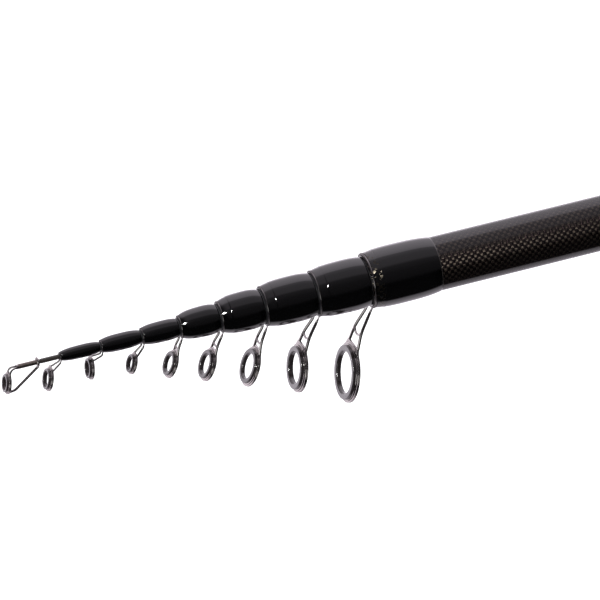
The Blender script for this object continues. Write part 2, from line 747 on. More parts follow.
def plastic_finish():
    """Moulded seat plastic: satin with a fine eroded grain."""
    material, shader = new_finish("seat_plastic", IOR=1.5)
    erosion = grain(material, 2600)
    mottle(material, shader, erosion, rod().colours.plastic, 0.8, 1.4)
    vary(material, shader, grain(material, 300), 0.34, 0.5)
    raise_bump(material, shader, erosion, mm(0.02))
    return material


def grip_finish():
    """Rubber grip sleeve: raised diamonds from two crossed waves, with dust in the grooves."""
    material, shader = new_finish("grip_rubber", IOR=1.45)
    _, round_it, along = surface_uv(material)
    waves = []
    for sign in (1.0, -1.0):
        slant = maths(material, "ADD", round_it, maths(material, "MULTIPLY", along, sign))
        waves.append(maths(material, "ABSOLUTE", maths(material, "SINE", slant)))
    diamond = maths(material, "POWER", maths(material, "MULTIPLY", *waves), 0.5)
    dust = maths(material, "MULTIPLY", diamond, to_range(material, grain(material, 350), 0.6, 1.0))
    mottle(material, shader, dust, rod().colours.rubber, 2.2, 1.0)
    vary(material, shader, grain(material, 1200), 0.6, 0.85)
    raise_bump(material, shader, diamond, mm(0.35))
    return material


def rubber_finish():
    """Plain black rubber with a dull mottled skin."""
    material, shader = new_finish("cap_rubber", IOR=1.45)
    skin = grain(material, 800)
    mottle(material, shader, skin, rod().colours.rubber, 0.8, 1.8)
    vary(material, shader, skin, 0.6, 0.85)
    raise_bump(material, shader, grain(material, 3000), mm(0.03))
    return material


FINISHES = {
    "black_lacquer": lacquer_finish,
    "woven_carbon": weave_finish,
    "plain_carbon": carbon_finish,
    "guide_steel": wire_finish,
    "ring_ceramic": ceramic_finish,
    "tip_glass_fibre": tip_finish,
    "tip_sleeve": sleeve_finish,
    "hood_aluminium": hood_finish,
    "seat_aluminium": anodised_finish,
    "seat_plastic": plastic_finish,
    "grip_rubber": grip_finish,
    "cap_rubber": rubber_finish,
}


@cache
def finish(name):
    """The finish of that name, made when it is first asked for."""
    return FINISHES[name]()


def tube_profile(k):
    """Outside and bore of a tube: straight base, taper to the nose, seat of the loop, choked mouth."""
    tube, handle = rod().sections, rod().handle
    wall, edge = nth(tube.wall, k), mm(0.12)
    rear = 0 if k == 1 else tube.base_s
    straight_to = handle.seat_from + handle.seat_len if k == 1 else tube.base_s + tube.overlap[k - 2]
    out, bore = mouth_out_r(k), mouth_r(k)
    return [
        (rear, base_r(k) - edge),
        (rear + edge, base_r(k)),
        (straight_to, base_r(k)),
        (nose_s(k), nose_r(k)),
        (seat_s(k), out),
        (mouth_s(k) - edge, out),
        (mouth_s(k), out - edge),
        (mouth_s(k), bore + edge),
        (mouth_s(k) - edge, bore),
        (mouth_s(k) - tube.mouth_land, bore),
        (nose_s(k), nose_r(k) - wall),
        (straight_to, base_r(k) - wall),
        (rear, base_r(k) - wall),
    ]


class ROD_OT_butt_tube(bpy.types.Operator):
    """Build the woven butt tube"""

    bl_idname = "rod.butt_tube"
    bl_label = "Butt tube"

    def execute(self, context):
        cell = rod().weave_cell
        cells_round = 2 * round(TURN * base_r(1) / cell / 2)
        tube = revolved(tube_profile(1), sides=144, u_scale=cells_round, v_scale=1 / cell)
        make_piece("woven_butt", [tube], "woven_carbon", "butt", "butt_tube", crease=30)
        return {"FINISHED"}


class ROD_OT_inner_tubes(bpy.types.Operator):
    """Build the seven inner tubes"""

    bl_idname = "rod.inner_tubes"
    bl_label = "Inner tubes"

    def execute(self, context):
        for k in range(2, TUBE_COUNT + 1):
            body, tube = section_body(k), revolved(tube_profile(k))
            make_piece(f"inner_tube_{k}", [tube], "plain_carbon", body, f"{body}_tube", crease=30)
        return {"FINISHED"}


WRAP_STEPS = 120
WRAP_EDGE = mm(0.55)
WRAP_EDGE_SHARE = 0.7
COLLARED = 4
COLLAR_DROP = mm(0.11)
COLLAR_STEP = mm(0.35)


def wrap_profile(k):
    """Outside of a nose wrap from rear to front: a straight run between both ends, a swell of
    1 - |2t - 1| cubed, a rounded rear edge, and on the larger noses a shallow clear collar in front."""
    noses = rod().noses
    rear_r = nose_r(k) + nth(noses.wrap_t, k)
    t = np.linspace(0, 1, WRAP_STEPS + 1)
    run = seat_s(k) - nose_s(k)
    radius = rear_r + (loop_out_r(k) - rear_r) * t + nth(noses.swell, k) * (1 - np.abs(2 * t - 1) ** 3)
    from_rear, from_front = t * run, (1 - t) * run
    radius -= quarter_round(from_rear / WRAP_EDGE) * min(WRAP_EDGE, nth(noses.wrap_t, k) * WRAP_EDGE_SHARE)
    if k <= COLLARED:
        radius -= COLLAR_DROP * (1 - smooth((from_front - noses.collar_len) / COLLAR_STEP))
    return nose_s(k) + from_rear, radius


class ROD_OT_nose_wraps(bpy.types.Operator):
    """Build the lacquered nose wraps"""

    bl_idname = "rod.nose_wraps"
    bl_label = "Nose wraps"

    def execute(self, context):
        bond = rod().sections.bond
        for k in range(1, TUBE_COUNT + 1):
            body, outside = section_body(k), pairs(*wrap_profile(k))
            inside = [(seat_s(k), mouth_out_r(k) + bond), (nose_s(k), nose_r(k) + bond)]
            shell = revolved(np.concatenate([outside, inside]), sides=128)
            wrap = make_piece(
                f"nose_lacquer_{k}", [shell], "black_lacquer", body, f"{body}_nose_wrap", crease=50
            )
            keep_from("left_box", wrap)
        return {"FINISHED"}


FOOT_ANGLE = math.radians(28)
FOOT_DEPTH = 0.7
SHOULDER_ANGLE = math.radians(44)
BALL_SHARE = 1.15
KNEE_CLEAR = 0.9


def leg_d(k):
    """Wire of a guide's legs; the tip top has its own."""
    return rod().guides.tip_wire_d if k == TIP else nth(rod().guides.leg_d, k)


def band_mid(k):
    """Middle of the metal band along the ring's axis."""
    guides = rod().guides
    return -nth(guides.ring_w, k) / 2 - flange_d(k) + nth(guides.band_w, k) / 2


def foot(k, side):
    """Where a leg ends on the band, 28 degrees from the ring's top."""
    guides = rod().guides
    reach = max(nth(guides.band_t, k) * FOOT_DEPTH, leg_d(k) / 2 * BALL_SHARE)
    r = band_in_r(k) + rod().sections.bond + reach
    return on_ring(k, r * math.cos(FOOT_ANGLE), side * r * math.sin(FOOT_ANGLE), band_mid(k))


def wrap_max_r(k):
    """Widest radius of a nose wrap."""
    rear_r = nose_r(k) + nth(rod().noses.wrap_t, k)
    return max(rear_r, loop_out_r(k)) + nth(rod().noses.swell, k)


def leg_knee(k, side):
    """Where a leg turns from its loop towards the ring, outside the next section's wrap."""
    guides, sections = rod().guides, rod().sections
    spread, thick = nth(guides.leg_spread, k), leg_d(k)
    shift = max(0, thick / 2 * BALL_SHARE - nth(guides.loop_d, k) / 2) + 2 * sections.bond
    next_r = sections.tip_base_r if k == TUBE_COUNT else wrap_max_r(k + 1)
    r = max(loop_r(k) + shift, next_r + rod().noses.wrap_gap) + thick * KNEE_CLEAR
    return at(loop_s(k) + shift, side * spread, -math.sqrt(r * r - spread * spread))


def on_loop(k, back):
    """A point of the wire loop, an arc length back from the leg's root on the +Y side."""
    r = loop_r(k)
    angle = math.pi - math.asin(nth(rod().guides.leg_spread, k) / r) - back / r
    return at(loop_s(k), r * math.sin(angle), r * math.cos(angle))


def across_of(way):
    """The direction in the XZ plane that stands across a way."""
    return np.array([-way[2], 0.0, way[0]])


BEND_AT = 0.52
BEND_BOW = 0.06


def leg_bend(k, side):
    """The bend where the brace sits: part of the way down the leg, bowed towards the tip."""
    knee, end = leg_knee(k, side), foot(k, side)
    bow = BEND_BOW * np.linalg.norm(end - knee)
    return knee * (1 - BEND_AT) + end * BEND_AT - np.array([bow, 0, 0])


LEG_ROOT = 1.4
LEG_BENDS = (1.1, 2)
BEND_ROOM = 0.45


def guide_leg(k, side):
    """A leg: it leaves the loop along the loop's own run, turns at the knee and bends where a brace hangs."""
    thick = leg_d(k)
    knee, end = leg_knee(k, side), foot(k, side)
    bends = [leg_bend(k, side)] if k <= rod().guides.braced else []
    corners = [on_loop(k, thick * LEG_ROOT) * np.array([1, side, 1]), knee, *bends, end]
    room = BEND_ROOM * np.linalg.norm(np.diff(corners[1:], axis=0), axis=1).min()
    turns = [min(thick * share, room) for share in LEG_BENDS]
    path = evenly(rounded_path(corners, turns, steps=16), 56)
    loop_half = nth(rod().guides.loop_d, k) / 2
    radius = loop_half + (thick / 2 - loop_half) * smooth(np.linspace(0, 3, len(path)))
    return swept(path, radius, across_of(end - knee))


BRACE_SAG = 0.22
BRACE_SHARE = 0.36


def guide_brace(k):
    """The brace: a sagging curve between the two bends, a parabola through its ends and its low point."""
    ends = [leg_bend(k, side) for side in (-1, 1)]
    middle, feet = sum(ends) / 2, (foot(k, -1) + foot(k, 1)) / 2
    pull = middle + 2 * BRACE_SAG * (feet - middle)
    t = np.linspace(0, 1, 24)[:, None]
    path = (1 - t) ** 2 * ends[0] + 2 * t * (1 - t) * pull + t**2 * ends[1]
    return swept(path, leg_d(k) * BRACE_SHARE, across_of(foot(k, 1) - leg_knee(k, 1)))


BEAD_DEPTH = 0.3
BEAD_END = 0.12
BEAD_POWER = 2.5
LIP_HEIGHT = 0.4
LIP_LENGTH = 0.8
LIP_EDGE = 0.1


def ring_band(k):
    """The metal band: two round beads with a groove between them, a thin lip in front, a flange behind."""
    guides = rod().guides
    thick, width, flange = nth(guides.band_t, k), nth(guides.band_w, k), flange_d(k)
    inside, rear = band_in_r(k), -nth(guides.ring_w, k) / 2 - flange
    front = rear + width
    t = np.linspace(0, 1, 33)
    bead = 1 - np.abs(2 * np.abs(2 * t - 1) - 1) ** BEAD_POWER
    ends = np.minimum(t, 1 - t) / BEAD_END
    drop = np.where(ends < 1, quarter_round(ends), 1 - bead)
    outside = band_out_r(k) - thick * BEAD_DEPTH * drop
    lip_r = inside + thick * LIP_HEIGHT
    lip = [(lip_r, front), (lip_r, front + flange * LIP_LENGTH), (lip_r - thick * LIP_EDGE, front + flange)]
    hollow = [(inside, front + flange), (inside, rear + flange), (inside - flange, rear + flange)]
    return ring_turned(k, [(inside - flange, rear), *zip(outside, rear + t * width), *lip, *hollow])


SHOULDER_RISE = 0.3
SHOULDER_INSET = 0.2
SHOULDER_WIDTH = 0.6


def ring_shoulder(k):
    """The plate between the feet: from the band out to straight lines that join its top and its sides."""
    guides = rod().guides
    thick, width = nth(guides.band_t, k), nth(guides.band_w, k)
    inner_r = (band_in_r(k) + band_out_r(k)) / 2
    top = band_out_r(k) + leg_d(k) * SHOULDER_RISE
    half_top = band_out_r(k) * math.sin(FOOT_ANGLE)
    side_r = band_out_r(k) - thick * SHOULDER_INSET
    corner = np.array([side_r * math.cos(SHOULDER_ANGLE), side_r * math.sin(SHOULDER_ANGLE)])
    angle = np.linspace(-SHOULDER_ANGLE, SHOULDER_ANGLE, 65)
    run = corner - np.array([top, half_top])
    slant = (top * run[1] - half_top * run[0]) / (np.cos(angle) * run[1] - np.abs(np.sin(angle)) * run[0])
    outline = np.minimum(top / np.cos(angle), slant)
    middle, plate = band_mid(k), width * SHOULDER_WIDTH
    near = np.full_like(outline, inner_r)
    r = np.stack([near, outline, outline, near], axis=1)
    ahead = middle + plate / 2 * np.array([-1, -1, 1, 1])
    points = on_ring(k, r * np.cos(angle)[:, None], r * np.sin(angle)[:, None], ahead + 0 * r)
    caps = [np.broadcast_to(points[i].mean(axis=0), points[i].shape)[None] for i in (0, -1)]
    return grid(np.concatenate([caps[0], points, caps[1]]))


def wire_loop(s, r, thick, steps):
    """A closed ring of wire round the rod's axis."""
    angle = np.linspace(0, TURN, steps, endpoint=False)
    return swept(at(s, r * np.sin(angle), r * np.cos(angle)), thick / 2, (1.0, 0.0, 0.0), closed=True)


class ROD_OT_guide_frames(bpy.types.Operator):
    """Build the wire frames of the line guides"""

    bl_idname = "rod.guide_frames"
    bl_label = "Guide frames"

    def execute(self, context):
        guides = rod().guides
        for k in range(1, TUBE_COUNT + 1):
            body = section_body(k)
            points, quads, uv = wire_loop(loop_s(k), loop_r(k), nth(guides.loop_d, k), 96)
            loop = (points, quads, uv + LOOP_MARK)
            surfaces = [loop, guide_leg(k, -1), guide_leg(k, 1), ring_band(k), ring_shoulder(k)]
            if k <= guides.braced:
                surfaces.append(guide_brace(k))
            wire = make_piece(f"guide_wire_{k}", surfaces, "guide_steel", body, f"{body}_guide_frame")
            keep_from("front_box", wire)
        return {"FINISHED"}


RING_LIP = 0.28
RING_EDGE = 0.12


class ROD_OT_line_rings(bpy.types.Operator):
    """Build the ceramic line rings"""

    bl_idname = "rod.line_rings"
    bl_label = "Line rings"

    def execute(self, context):
        guides = rod().guides
        for k in range(1, TIP + 1):
            wall, half_w = nth(guides.ring_wall, k), nth(guides.ring_w, k) / 2
            lip_front, lip_bore = fillet(wall * RING_LIP, 9)
            edge_rim, edge_front = fillet(wall * RING_EDGE, 9)
            mouth = pairs(ring_r(k) - wall + lip_bore, half_w - lip_front)
            rim = pairs(ring_r(k) - edge_rim, half_w - edge_front)
            front = np.concatenate([mouth, rim])
            rear = front[::-1] * np.array([1, -1])
            ring = ring_turned(k, np.concatenate([front, rear]))
            owner = "tip" if k == TIP else section_body(k)
            make_piece(f"line_ring_{k}", [ring], "ring_ceramic", section_body(k), f"{owner}_guide_ring")
        return {"FINISHED"}


SOLDER_LEN = mm(1.6)
WIRE_APART = 0.62
WIRE_REACH = 0.62
WIRE_BEND = mm(2.2)
STRUT_SHARE = 0.55
STRUT_BENDS = (mm(0.3), mm(0.8))
STRUT_TURN = 0.45


def tip_frame():
    """The tip top: a solder nose, two wires that bend down to the ring, a clip loop and a straight strut."""
    guides, bond = rod().guides, rod().sections.bond
    r = nose_r(TIP)
    nose_from = sleeve_end_s() + bond
    nose = revolved(
        [
            (nose_from, 0),
            (nose_from, r * 0.94),
            (nose_from + SOLDER_LEN * 0.1, r),
            (nose_from + SOLDER_LEN * 0.5, r),
            (nose_from + SOLDER_LEN * 0.85, r * 0.8),
            (nose_from + SOLDER_LEN, r * 0.6),
            (nose_from + SOLDER_LEN, 0),
        ],
        sides=48,
    )
    surfaces = [nose, ring_band(TIP), ring_shoulder(TIP)]
    wire_side = r * WIRE_APART
    for side in (-1, 1):
        end = foot(TIP, side)
        bend_y = side * (wire_side + abs(end[1])) / 2
        bend = at(nose_from + guides.tip_forward * WIRE_REACH, bend_y, -mm(0.1))
        start = at(nose_from + SOLDER_LEN * 0.3, side * wire_side, 0.0)
        path = evenly(rounded_path([start, bend, end], [WIRE_BEND], steps=24), 48)
        surfaces.append(swept(path, guides.tip_wire_d / 2, (0.0, 1.0, 0.0)))
    clip_s = sleeve_end_s() - guides.clip_back
    surfaces.append(wire_loop(clip_s, r + bond + guides.brace_d / 2, guides.brace_d, 64))
    strut_r = guides.brace_d * STRUT_SHARE
    ring_foot = on_ring(TIP, -(band_in_r(TIP) + bond + strut_r * BALL_SHARE), 0.0, band_mid(TIP))
    root = at(clip_s, 0.0, -(r + 2 * bond + strut_r * BALL_SHARE))
    turn_s = sleeve_end_s() + guides.tip_forward * STRUT_TURN
    turn_in = at(turn_s, 0.0, ring_foot[2] + guides.brace_d * 0.4)
    corners = [root, root - [0, 0, mm(0.5)], turn_in, ring_foot]
    path = evenly(rounded_path(corners, STRUT_BENDS), 48)
    surfaces.append(swept(path, strut_r, (0.0, 1.0, 0.0)))
    return surfaces


class ROD_OT_tip_top(bpy.types.Operator):
    """Build the tip rod, its sleeve and the tip top"""

    bl_idname = "rod.tip_top"
    bl_label = "Tip top"

    def execute(self, context):
        tube, guides = rod().sections, rod().guides
        r, edge = nose_r(TIP), mm(0.06)
        seat_r = r - guides.sleeve_wall - tube.bond
        sleeve_from = sleeve_end_s() - guides.sleeve_len
        stop_s = sleeve_from - guides.face_gap
        tip = [
            (tube.base_s, 0),
            (tube.base_s, tube.tip_base_r - edge),
            (tube.base_s + edge, tube.tip_base_r),
            (tube.base_s + nth(tube.overlap, TUBE_COUNT), tube.tip_base_r),
            (nose_s(TIP), r),
            (stop_s - edge, r),
            (stop_s, r - edge),
            (stop_s, seat_r),
            (tip_end_s(), seat_r),
            (tip_end_s(), 0),
        ]
        sleeve = [
            (sleeve_from, seat_r + tube.bond),
            (sleeve_from, r - edge),
            (sleeve_from + edge, r),
            (sleeve_end_s() - edge, r),
            (sleeve_end_s(), r - edge),
            (sleeve_end_s(), seat_r + tube.bond),
        ]
        body = section_body(TIP)
        make_piece("tip_shaft", [revolved(tip, 48)], "tip_glass_fibre", body, "tip_rod")
        make_piece("tip_tube", [revolved(sleeve, 64)], "tip_sleeve", body, "tip_sleeve")
        wire = make_piece("tip_wire", tip_frame(), "guide_steel", body, "tip_guide_frame")
        keep_from("front_box", wire)
        return {"FINISHED"}


def lobed(s, radius, angle):
    """A closed shell round the rod's axis whose radius is given for each row and each angle."""
    s = np.asarray(s, float)[:, None]
    points = at(s + 0 * angle, radius * np.sin(angle), radius * np.cos(angle))
    return grid(points, close_rows=True)


def barrel_r():
    """Outer radius of the reel seat's barrel."""
    return base_r(1) + rod().sections.bond + rod().handle.barrel_wall


def bed_depth():
    """Distance of the flat bed from the rod's axis."""
    return barrel_r() - rod().handle.bed_cut


NUT_PITCH = mm(2)
CAP_PITCH = mm(1.5)
NUT_THREAD_FROM = mm(7)
NUT_THREAD_TO = mm(70)
NUT_THREAD_DEPTH = mm(0.45)


def thread_relief(s, angle, pitch, depth, low, high):
    """A screw groove: a cosine of the length less the turn, faded in and out at both ends of the thread."""
    fade = smooth((s - low) / pitch) * smooth((high - s) / pitch)
    return depth * fade * (0.5 - 0.5 * np.cos(TURN * s / pitch - angle))


def seat_shell():
    """The barrel: a threaded cylinder, cut flat along its underside and slotted along its top."""
    handle = rod().handle
    rear, front = handle.seat_from, handle.seat_from + handle.seat_len
    edge, tiny, sliver = mm(0.6), mm(0.002), 1e-4
    bed_low, bed_high = rear + handle.bed_end, front - handle.hood_len + handle.pocket_depth
    slot_high = front - handle.hood_len - rod().guides.face_gap
    thread_low, thread_high = rear + NUT_THREAD_FROM, rear + NUT_THREAD_TO
    threaded = np.arange(thread_low, thread_high, NUT_PITCH / 10)
    stops = [rear, rear + edge, bed_low - tiny, bed_low + tiny, slot_high - tiny, slot_high + tiny]
    s = np.sort(np.concatenate([stops, threaded, [bed_high - tiny, bed_high + tiny, front - edge, front]]))
    slot = math.asin(handle.key_w / 2 / barrel_r())
    flat = math.acos(bed_depth() / barrel_r())
    marks = [slot, slot + sliver, math.pi - flat, math.pi + flat, TURN - slot - sliver, TURN - slot]
    angle = np.sort(np.concatenate([np.linspace(0, TURN, 180, endpoint=False), marks]))
    rows, cols = s[:, None], angle[None, :]
    radius = barrel_r() - np.clip(edge - np.minimum(rows - rear, front - rows), 0, edge) + 0 * cols
    radius = radius - thread_relief(rows, cols, NUT_PITCH, NUT_THREAD_DEPTH, thread_low, thread_high)
    on_bed = (rows > bed_low) & (rows < bed_high) & (np.cos(cols) < 0)
    radius = np.where(on_bed, np.minimum(radius, bed_depth() / np.maximum(-np.cos(cols), 1e-3)), radius)
    in_slot = (rows > bed_low) & (rows < slot_high) & (np.abs(np.sin(cols)) <= math.sin(slot) + 1e-9)
    in_slot &= np.cos(cols) > 0
    radius = np.where(in_slot, barrel_r() - handle.key_d, radius)
    bore = base_r(1) + rod().sections.bond + np.zeros((2, len(angle)))
    return lobed(np.concatenate([s, [front, rear]]), np.concatenate([radius, bore]), angle)


def offset_circle(radius, centre, angle):
    """Distance from the axis to a circle whose centre lies towards -Z, at each angle from +Z."""
    reach = np.sqrt(np.maximum(radius**2 - (centre * np.sin(angle)) ** 2, 0))
    return np.where(np.abs(centre * np.sin(angle)) < radius, reach - centre * np.cos(angle), 0)


HOOD_EDGE_FALL = 0.8


def hood_shell(open_s, way, bore_r):
    """A hood: a sleeve blended into a swollen underside, with a drafted pocket from its open end."""
    handle = rod().handle
    size, depth, wall = handle.hood_len, handle.pocket_depth, handle.hood_wall
    centre = bed_depth() + handle.pocket_h - handle.pocket_r
    slope = handle.pocket_draft / depth
    angle = np.linspace(0, TURN, 160, endpoint=False)[None, :]
    edge, soft = mm(0.7), mm(0.9)
    turn = np.linspace(0, 1, 7)
    straight = np.linspace(edge, size - edge, 24)[1:-1]
    out = np.concatenate([turn * edge, straight, size - edge + turn * edge])
    round_off = edge * HOOD_EDGE_FALL * quarter_round(np.minimum(out, size - out) / edge)
    swollen = offset_circle((handle.pocket_r + wall - slope * out)[:, None], centre, angle)
    sleeve = bore_r + wall
    gap = swollen - sleeve
    outside = sleeve + (gap + np.sqrt(gap**2 + soft**2)) / 2 - round_off[:, None]
    inn = np.array([size, depth + mm(0.002), depth, depth * 0.66, depth * 0.33, 0])
    pocket = offset_circle((handle.pocket_r - slope * inn)[:, None], centre, angle)
    inside = np.where(inn[:, None] > depth, bore_r, np.maximum(bore_r, pocket))
    s = open_s + way * np.concatenate([out, inn])
    return lobed(s, np.concatenate([outside, inside]), angle[0])


def block(low, high):
    """A closed box between two corners, as four-sided loops from end to end."""
    low, high = np.asarray(low), np.asarray(high)
    corner = np.array([[0, 0], [1, 0], [1, 1], [0, 1]])
    ring = low[1:] + corner * (high - low)[1:]
    middle = np.broadcast_to(ring.mean(axis=0), ring.shape)
    rows = [(low[0], middle), (low[0], ring), (high[0], ring), (high[0], middle)]
    points = np.stack([np.concatenate([np.full((4, 1), x), yz], axis=1) for x, yz in rows])
    return grid(points)


def scalloped(radius, angle, count, depth, share):
    """A radius with round hollows: half a cosine wave over a share of each of the equal pitches."""
    phase = np.abs((angle * count / TURN + 0.5) % 1 - 0.5) / (share / 2)
    return radius - depth * np.where(phase < 1, 0.5 + 0.5 * np.cos(math.pi * phase), 0)


KNURLS = 30
KNURL_DEPTH = 0.25
KNURL_SHARE = 0.6
NUT_EDGE = 0.3
CAP_FLUTES = 24
FLUTE_DEPTH = 0.07
FLUTE_SHARE = 0.42
FLANGE_EDGE = 0.12
CAP_HOLLOW = 0.6
HOLLOW_DEPTH = 0.5
CAP_THREAD_FROM = mm(0.5)
CAP_THREAD_DEPTH = mm(0.4)


def nut_shell():
    """The lock nut: a rounded ring with thirty grip hollows."""
    handle = rod().handle
    rear = handle.seat_from + handle.nut_from
    bore = barrel_r() + handle.slide_fit
    wall, size = handle.nut_wall, handle.nut_len
    edge = wall * NUT_EDGE
    angle = np.linspace(0, TURN, KNURLS * 14, endpoint=False)
    d = np.concatenate([np.linspace(0, edge, 5), np.linspace(size - edge, size, 5)])
    drop = edge * quarter_round(np.minimum(d, size - d) / edge)
    outside = scalloped(bore + wall, angle, KNURLS, wall * KNURL_DEPTH, KNURL_SHARE) - drop[:, None]
    inside = np.full((2, len(angle)), bore)
    return lobed(rear + np.concatenate([d, [size, 0]]), np.concatenate([outside, inside]), angle)


RING_STRAIGHT = 0.4


def end_ring(barrel_end, free_end, big_r, small_r):
    """A ring at an end of the seat: a straight shoulder, then an ogee down to its thin free edge."""
    t = np.linspace(0, 1, 25)
    s = barrel_end + (free_end - barrel_end) * (RING_STRAIGHT + (1 - RING_STRAIGHT) * t)
    bore = base_r(1) + rod().sections.bond
    edge = mm(0.25) * (1 if free_end > barrel_end else -1)
    outside = pairs(s, big_r + (small_r - big_r) * smooth(t))
    start = [(barrel_end, bore), (barrel_end, big_r - abs(edge)), (barrel_end + edge, big_r)]
    return revolved(np.concatenate([start, outside, [(free_end, bore)]]))


class ROD_OT_reel_seat(bpy.types.Operator):
    """Build the reel seat with its hoods, nut and end rings"""

    bl_idname = "rod.reel_seat"
    bl_label = "Reel seat"

    def execute(self, context):
        handle, bond = rod().handle, rod().sections.bond
        bore = base_r(1) + bond
        front = handle.seat_from + handle.seat_len
        slider = handle.seat_from + handle.nut_from + handle.nut_len + rod().guides.face_gap
        make_piece("seat_tube", [seat_shell()], "seat_plastic", "butt", "seat_barrel", crease=30)
        fixed = hood_shell(front - handle.hood_len, 1, barrel_r() + bond)
        make_piece("front_hood", [fixed], "hood_aluminium", "butt", "seat_fixed_hood")
        loose = hood_shell(slider + handle.hood_len, -1, barrel_r() + handle.slide_fit)
        key_half = handle.key_w / 2 - handle.slide_fit / 2
        key_low = barrel_r() - handle.key_d + handle.slide_fit
        key = block(
            at(slider + handle.hood_len - mm(0.5), -key_half, key_low),
            at(slider + mm(0.5), key_half, barrel_r() + handle.slide_fit + handle.hood_wall / 2),
        )
        make_piece("rear_hood", [loose, key], "hood_aluminium", "hood", "seat_sliding_hood")
        make_piece("lock_nut", [nut_shell()], "seat_aluminium", "nut", "seat_lock_nut", 30)
        reach = handle.end_ring_len
        tip_ring = end_ring(front + bond, front + bond + reach, barrel_r(), bore + mm(0.6))
        make_piece("seat_ring_front", [tip_ring], "seat_aluminium", "butt", "seat_front_ring")
        rear = handle.seat_from - bond
        grip_ring = end_ring(rear, rear - reach, barrel_r() + handle.hood_wall, bore + handle.grip_t)
        make_piece("seat_ring_rear", [grip_ring], "seat_aluminium", "butt", "seat_rear_ring")
        return {"FINISHED"}


DIAMOND = mm(3.2)


class ROD_OT_grip(bpy.types.Operator):
    """Build the rubber grip sleeve"""

    bl_idname = "rod.grip"
    bl_label = "Grip sleeve"

    def execute(self, context):
        handle = rod().handle
        low, high = handle.grip_from, handle.grip_from + handle.grip_len
        bore, outer = base_r(1) + rod().sections.bond, base_r(1) + handle.grip_t
        inset, fall = fillet(handle.grip_t / 2, 6)
        rear, front = pairs(low + inset, outer - fall)[::-1], pairs(high - inset, outer - fall)
        profile = np.concatenate([rear, front, [(high, bore), (low, bore)]])
        turns = math.pi * round(TURN * outer / DIAMOND)
        sleeve = revolved(profile, sides=128, u_scale=turns, v_scale=math.pi / DIAMOND)
        make_piece("grip_rubber", [sleeve], "grip_rubber", "butt", "grip_sleeve")
        return {"FINISHED"}


def plug_shell():
    """The cap's screw plug: a fluted flange with a hollow behind, and a threaded spigot into the bush."""
    handle, bond = rod().handle, rod().sections.bond
    rim_r = base_r(1)
    thread_r = rim_r - rod().sections.wall[0] - bond - handle.bush_wall
    plug_r = thread_r - handle.slide_fit
    flange_s = -handle.seal_t - rod().guides.face_gap
    seat_r = rim_r * CAP_HOLLOW + bond
    thick, edge = handle.flange_t, handle.flange_t * FLANGE_EDGE
    tip = handle.bush_len - handle.pad_t
    angle = np.linspace(0, TURN, CAP_FLUTES * 12, endpoint=False)
    fluted = scalloped(rim_r, angle, CAP_FLUTES, thick * FLUTE_DEPTH, FLUTE_SHARE)
    turn = np.linspace(0, 1, 5)
    d = np.concatenate([turn * edge, thick - edge + turn * edge])
    drop = edge * quarter_round(np.minimum(d, thick - d) / edge)
    rim = fluted[None, :] - drop[:, None]
    s_thread = np.linspace(flange_s, tip, 150)
    rows = s_thread[:, None]
    spigot = plug_r - thread_relief(rows, angle, CAP_PITCH, CAP_THREAD_DEPTH, CAP_THREAD_FROM, tip)
    flat = np.ones_like(angle)
    start = np.stack([0 * flat, seat_r * flat, seat_r * flat])
    hollow_s = flange_s - thick * HOLLOW_DEPTH
    start_s = [hollow_s, hollow_s, flange_s - thick]
    s = np.concatenate([start_s, flange_s - thick + d, s_thread, [tip]])
    return lobed(s, np.concatenate([start, rim, spigot, 0 * flat[None]]), angle)


BUMPER_DOME = 0.7
BUMPER_RINGS = 3
BUMPER_RING_DEPTH = mm(0.25)


class ROD_OT_butt_cap(bpy.types.Operator):
    """Build the bush and the screw cap with its rubbers"""

    bl_idname = "rod.butt_cap"
    bl_label = "Butt cap"

    def execute(self, context):
        handle, bond, gap = rod().handle, rod().sections.bond, rod().guides.face_gap
        rim_r = base_r(1)
        bush_out = rim_r - rod().sections.wall[0] - bond
        thread_r = bush_out - handle.bush_wall
        plug_r = thread_r - handle.slide_fit
        size, edge = handle.bush_len, mm(0.3)
        bush = [(0, thread_r + edge), (0, bush_out), (size, bush_out), (size, thread_r), (edge, thread_r)]
        make_piece("thread_bush", [revolved(bush)], "seat_aluminium", "butt", "butt_bush")
        flange_s = -handle.seal_t - gap
        low, high = flange_s + gap / 2, flange_s + gap / 2 + handle.seal_t
        t = np.linspace(-math.pi / 2, math.pi / 2, 13)
        bulge_s = (low + high) / 2 + handle.seal_t / 2 * np.sin(t)
        bulge = pairs(bulge_s, rim_r - bond - edge * (1 - np.cos(t)))
        seal = np.concatenate([bulge, [(high, plug_r + bond), (low, plug_r + bond)]])
        make_piece("seal_ring", [revolved(seal)], "cap_rubber", "cap_ring", "cap_seal")
        make_piece("screw_plug", [plug_shell()], "seat_aluminium", "cap", "cap_plug", crease=35)
        seat_r, face = rim_r * CAP_HOLLOW, flange_s - handle.flange_t - bond
        rear = face - handle.bumper_t
        inset, fall = fillet(handle.bumper_t * BUMPER_DOME, 17)
        shoulder = pairs(rear + inset, rim_r - fall)
        deep = flange_s - handle.flange_t * HOLLOW_DEPTH - bond
        out = np.linspace(1, 0, 40)
        waves = 0.5 - 0.5 * np.cos(BUMPER_RINGS * TURN * (1 - out))
        inner = [(deep, 0), (deep, seat_r), (face, seat_r), (face, rim_r - edge), (face - edge, rim_r)]
        end = pairs(rear + BUMPER_RING_DEPTH * waves, shoulder[-1, 1] * out)
        bumper = np.concatenate([inner, shoulder, end])
        make_piece("bumper", [revolved(bumper)], "cap_rubber", "cap", "cap_bumper")
        low = handle.bush_len - handle.pad_t + bond
        pad = [(low, 0), (low, plug_r), (size - edge, plug_r), (size, plug_r - edge), (size, 0)]
        make_piece("cushion_disc", [revolved(pad)], "cap_rubber", "cap", "cap_pad")
        return {"FINISHED"}


